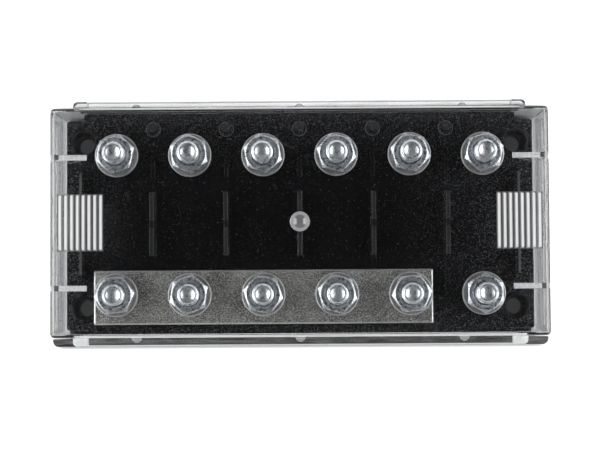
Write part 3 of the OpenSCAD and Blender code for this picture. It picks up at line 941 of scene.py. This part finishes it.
# Dark tone, light tone, least and most roughness, depth of the relief, and radius of the painted rim
# highlight
PLATING = {
    "stud": ((0.64, 0.66, 0.69), (0.92, 0.94, 0.97), 0.22, 0.36, 0.08 * MM, NO_HIGHLIGHT),
    "nut": ((0.28, 0.305, 0.34), (0.94, 0.96, 0.99), 0.22, 0.36, 0.16 * MM, NO_HIGHLIGHT),
    "washer": ((0.3, 0.292, 0.276), (0.5, 0.49, 0.47), 0.34, 0.46, 0.14 * MM, WASHER_HIGHLIGHT_R),
}
SILLS = [(Vector((-SILL_HALF_L, min(side * SILL_FROM, side * SILL_TO), SILL_LOW)),
          Vector((SILL_HALF_L, max(side * SILL_FROM, side * SILL_TO), DECK_Z))) for side in (-1, 1)]

base = softened("moulded_base", "base_moulding", BASE_EDGE, black, edge_at=base_edge_at, blocks=SILLS)
finish_piece(base, "base_moulding", "holder")
finish_piece(softened("plated_bar", "busbar", BAR_EDGE, plated_bar()), "busbar", "holder")
for row, row_y in (("line", ROW_Y), ("feed", -ROW_Y)):
    zincs = {kind: zinc(f"{row}_{kind}_zinc", row_y, *looks) for kind, looks in PLATING.items()}
    washers = softened(f"{row}_washer_set", f"{row}_washers", WASHER_EDGE, zincs["washer"])
    finish_piece(washers, f"{row}_washers", "holder")
    finish_piece(hex_nuts(f"{row}_nut_set", row, zincs["nut"]), f"{row}_nuts", "holder")
    for way in range(1, WAYS + 1):
        node = f"{row}_stud_{way}"
        finish_piece(threaded_stud(node, zincs["stud"]), node, "holder")

# The cover

finishes = (
    clear_plastic(),
    frosted_plastic("frosted_grip", (0.96, 0.962, 0.965), (1.0, 1.0, 1.0)),
    hazy_plastic("hazy_wall", (1, 0.06, 0.25), (0.52, 0.525, 0.54), (1.0, 1.0, 1.0),
                 (0.93, 0.99), (0.0, 0.06), 0.5),
    hazy_plastic("hazy_lip", (0.08, 1, 1), (0.58, 0.585, 0.6), (0.94, 0.945, 0.95),
                 (0.95, 0.99), (0.0, 0.03), 0.08),
    frosted_plastic("cloudy_gusset", (0.34, 0.35, 0.36), (0.58, 0.59, 0.6)),
    boss_plastic(),
)
cover = softened("moulded_cover", "clear_cover", COVER_RIM_EDGE, *finishes, edge_at=cover_edge_at,
                 unwanted=inside_wall, cuts=(-CORNER_FROM, CORNER_FROM))
finish_cover(cover)
finish_piece(cover, "clear_cover", "cover")


# The studio

def white_floor():
    """A pale floor that shows as white to the camera, in mirrors and through glass, and keeps its shadows
    from the lamps. Under and just round the holder its colour and glow are lowered as a painted shadow.
    """
    made, tree, shader, place = new_material("pale_floor")
    path = add(tree, "LightPath")
    seen = largest(tree, path.outputs["Is Camera Ray"], path.outputs["Is Glossy Ray"],
                   path.outputs["Is Transmission Ray"])
    x, y, _ = apart(tree, place)
    off_x = unsigned(tree, x)
    off_y = unsigned(tree, y)
    # Painted shadow: the floor is darker and glows less under the holder's ends, under its base and just
    # beside its sides
    past_end = span(tree, off_x, DECK_HALF_L, cad_high.x, 0, 1)
    past_side = less(tree, off_y, cad_high.y)
    painted_contact_shade = span(tree, past_side, -SHADE_FROM, 0, 0, 0.42)
    beyond = span(tree, past_side, SHADE_FROM, SHADE_TO, 0, 0.58)
    outside_painted_shadow = largest(tree, past_end, total(tree, painted_contact_shade, beyond))
    set_inputs(tree, shader, {
        "Base Color": blend_colours(tree, outside_painted_shadow, (0.4, 0.4, 0.4), (0.82, 0.82, 0.82)),
        "Roughness": 0.9,
        "Specular IOR Level": 0.1,
        "Emission Color": (1, 1, 1, 1),
        "Emission Strength": product(tree, seen, span(tree, outside_painted_shadow, 0, 1, 0.03, 0.76)),
    })
    return made


def make_floor():
    """A wide floor just under the holder."""
    bm = bmesh.new()
    bmesh.ops.create_grid(bm, x_segments=1, y_segments=1, size=FLOOR_SIZE / 2,
                          matrix=Matrix.Translation((0, 0, cad_low.z - FLOOR_DROP)))
    new_piece("floor", bm, white_floor())


def make_world():
    """Soft surround: bright low down at both ends, dimmer behind and in front, dark overhead."""
    world = bpy.data.worlds.new("studio")
    world.use_nodes = True
    tree = world.node_tree
    bpy.context.scene.world = world
    x, y, z = apart(tree, add(tree, "TexCoord").outputs["Generated"])
    to_end = maths(tree, "POWER", x, 2)
    behind = maths(tree, "POWER", largest(tree, y, 0), 2)
    sides = total(tree, product(tree, to_end, WORLD_ENDS), product(tree, behind, WORLD_BEHIND), WORLD_LOW)
    low_down = span(tree, z, 0.1, 0.8, 1, 0)
    level = total(tree, product(tree, low_down, sides), WORLD_OVERHEAD)
    set_inputs(tree, tree.nodes["Background"], {"Color": (1, 1, 1, 1), "Strength": level})


def make_softbox(name, side):
    """A broad lamp that faces the holder, on the left for side -1 and on the right for side 1."""
    at = Vector((side * SOFTBOX_X, 0, SOFTBOX_Z))
    lamp = bpy.data.lights.new(name, "AREA")
    lamp.shape = "RECTANGLE"
    lamp.size, lamp.size_y = SOFTBOX_SIZE
    lamp.energy = SOFTBOX_POWER
    holder = bpy.data.objects.new(name, lamp)
    holder.location = at
    holder.rotation_mode = "QUATERNION"
    holder.rotation_quaternion = (SOFTBOX_AIM - at).to_track_quat("-Z", "Y")
    bpy.context.scene.collection.objects.link(holder)


def make_camera():
    """Looks down on the holder from the photo's viewpoint."""
    lens = bpy.data.cameras.new("camera")
    lens.sensor_width = SENSOR_W
    lens.lens = SENSOR_W * FOCAL_PX / PHOTO_W
    camera = bpy.data.objects.new("camera", lens)
    forward = (CAMERA_AIM - CAMERA_AT).normalized()
    right = forward.cross(Vector((0, 1, 0))).normalized()
    up = right.cross(forward)
    rolled = Matrix((right, up, -forward)).transposed() @ Matrix.Rotation(CAMERA_ROLL, 3, "Z")
    camera.matrix_world = Matrix.Translation(CAMERA_AT) @ rolled.to_4x4()
    bpy.context.scene.collection.objects.link(camera)
    bpy.context.scene.camera = camera


make_floor()
make_world()
make_softbox("left_softbox", -1)
make_softbox("right_softbox", 1)
make_camera()
bpy.context.scene.view_settings.view_transform = "Standard"
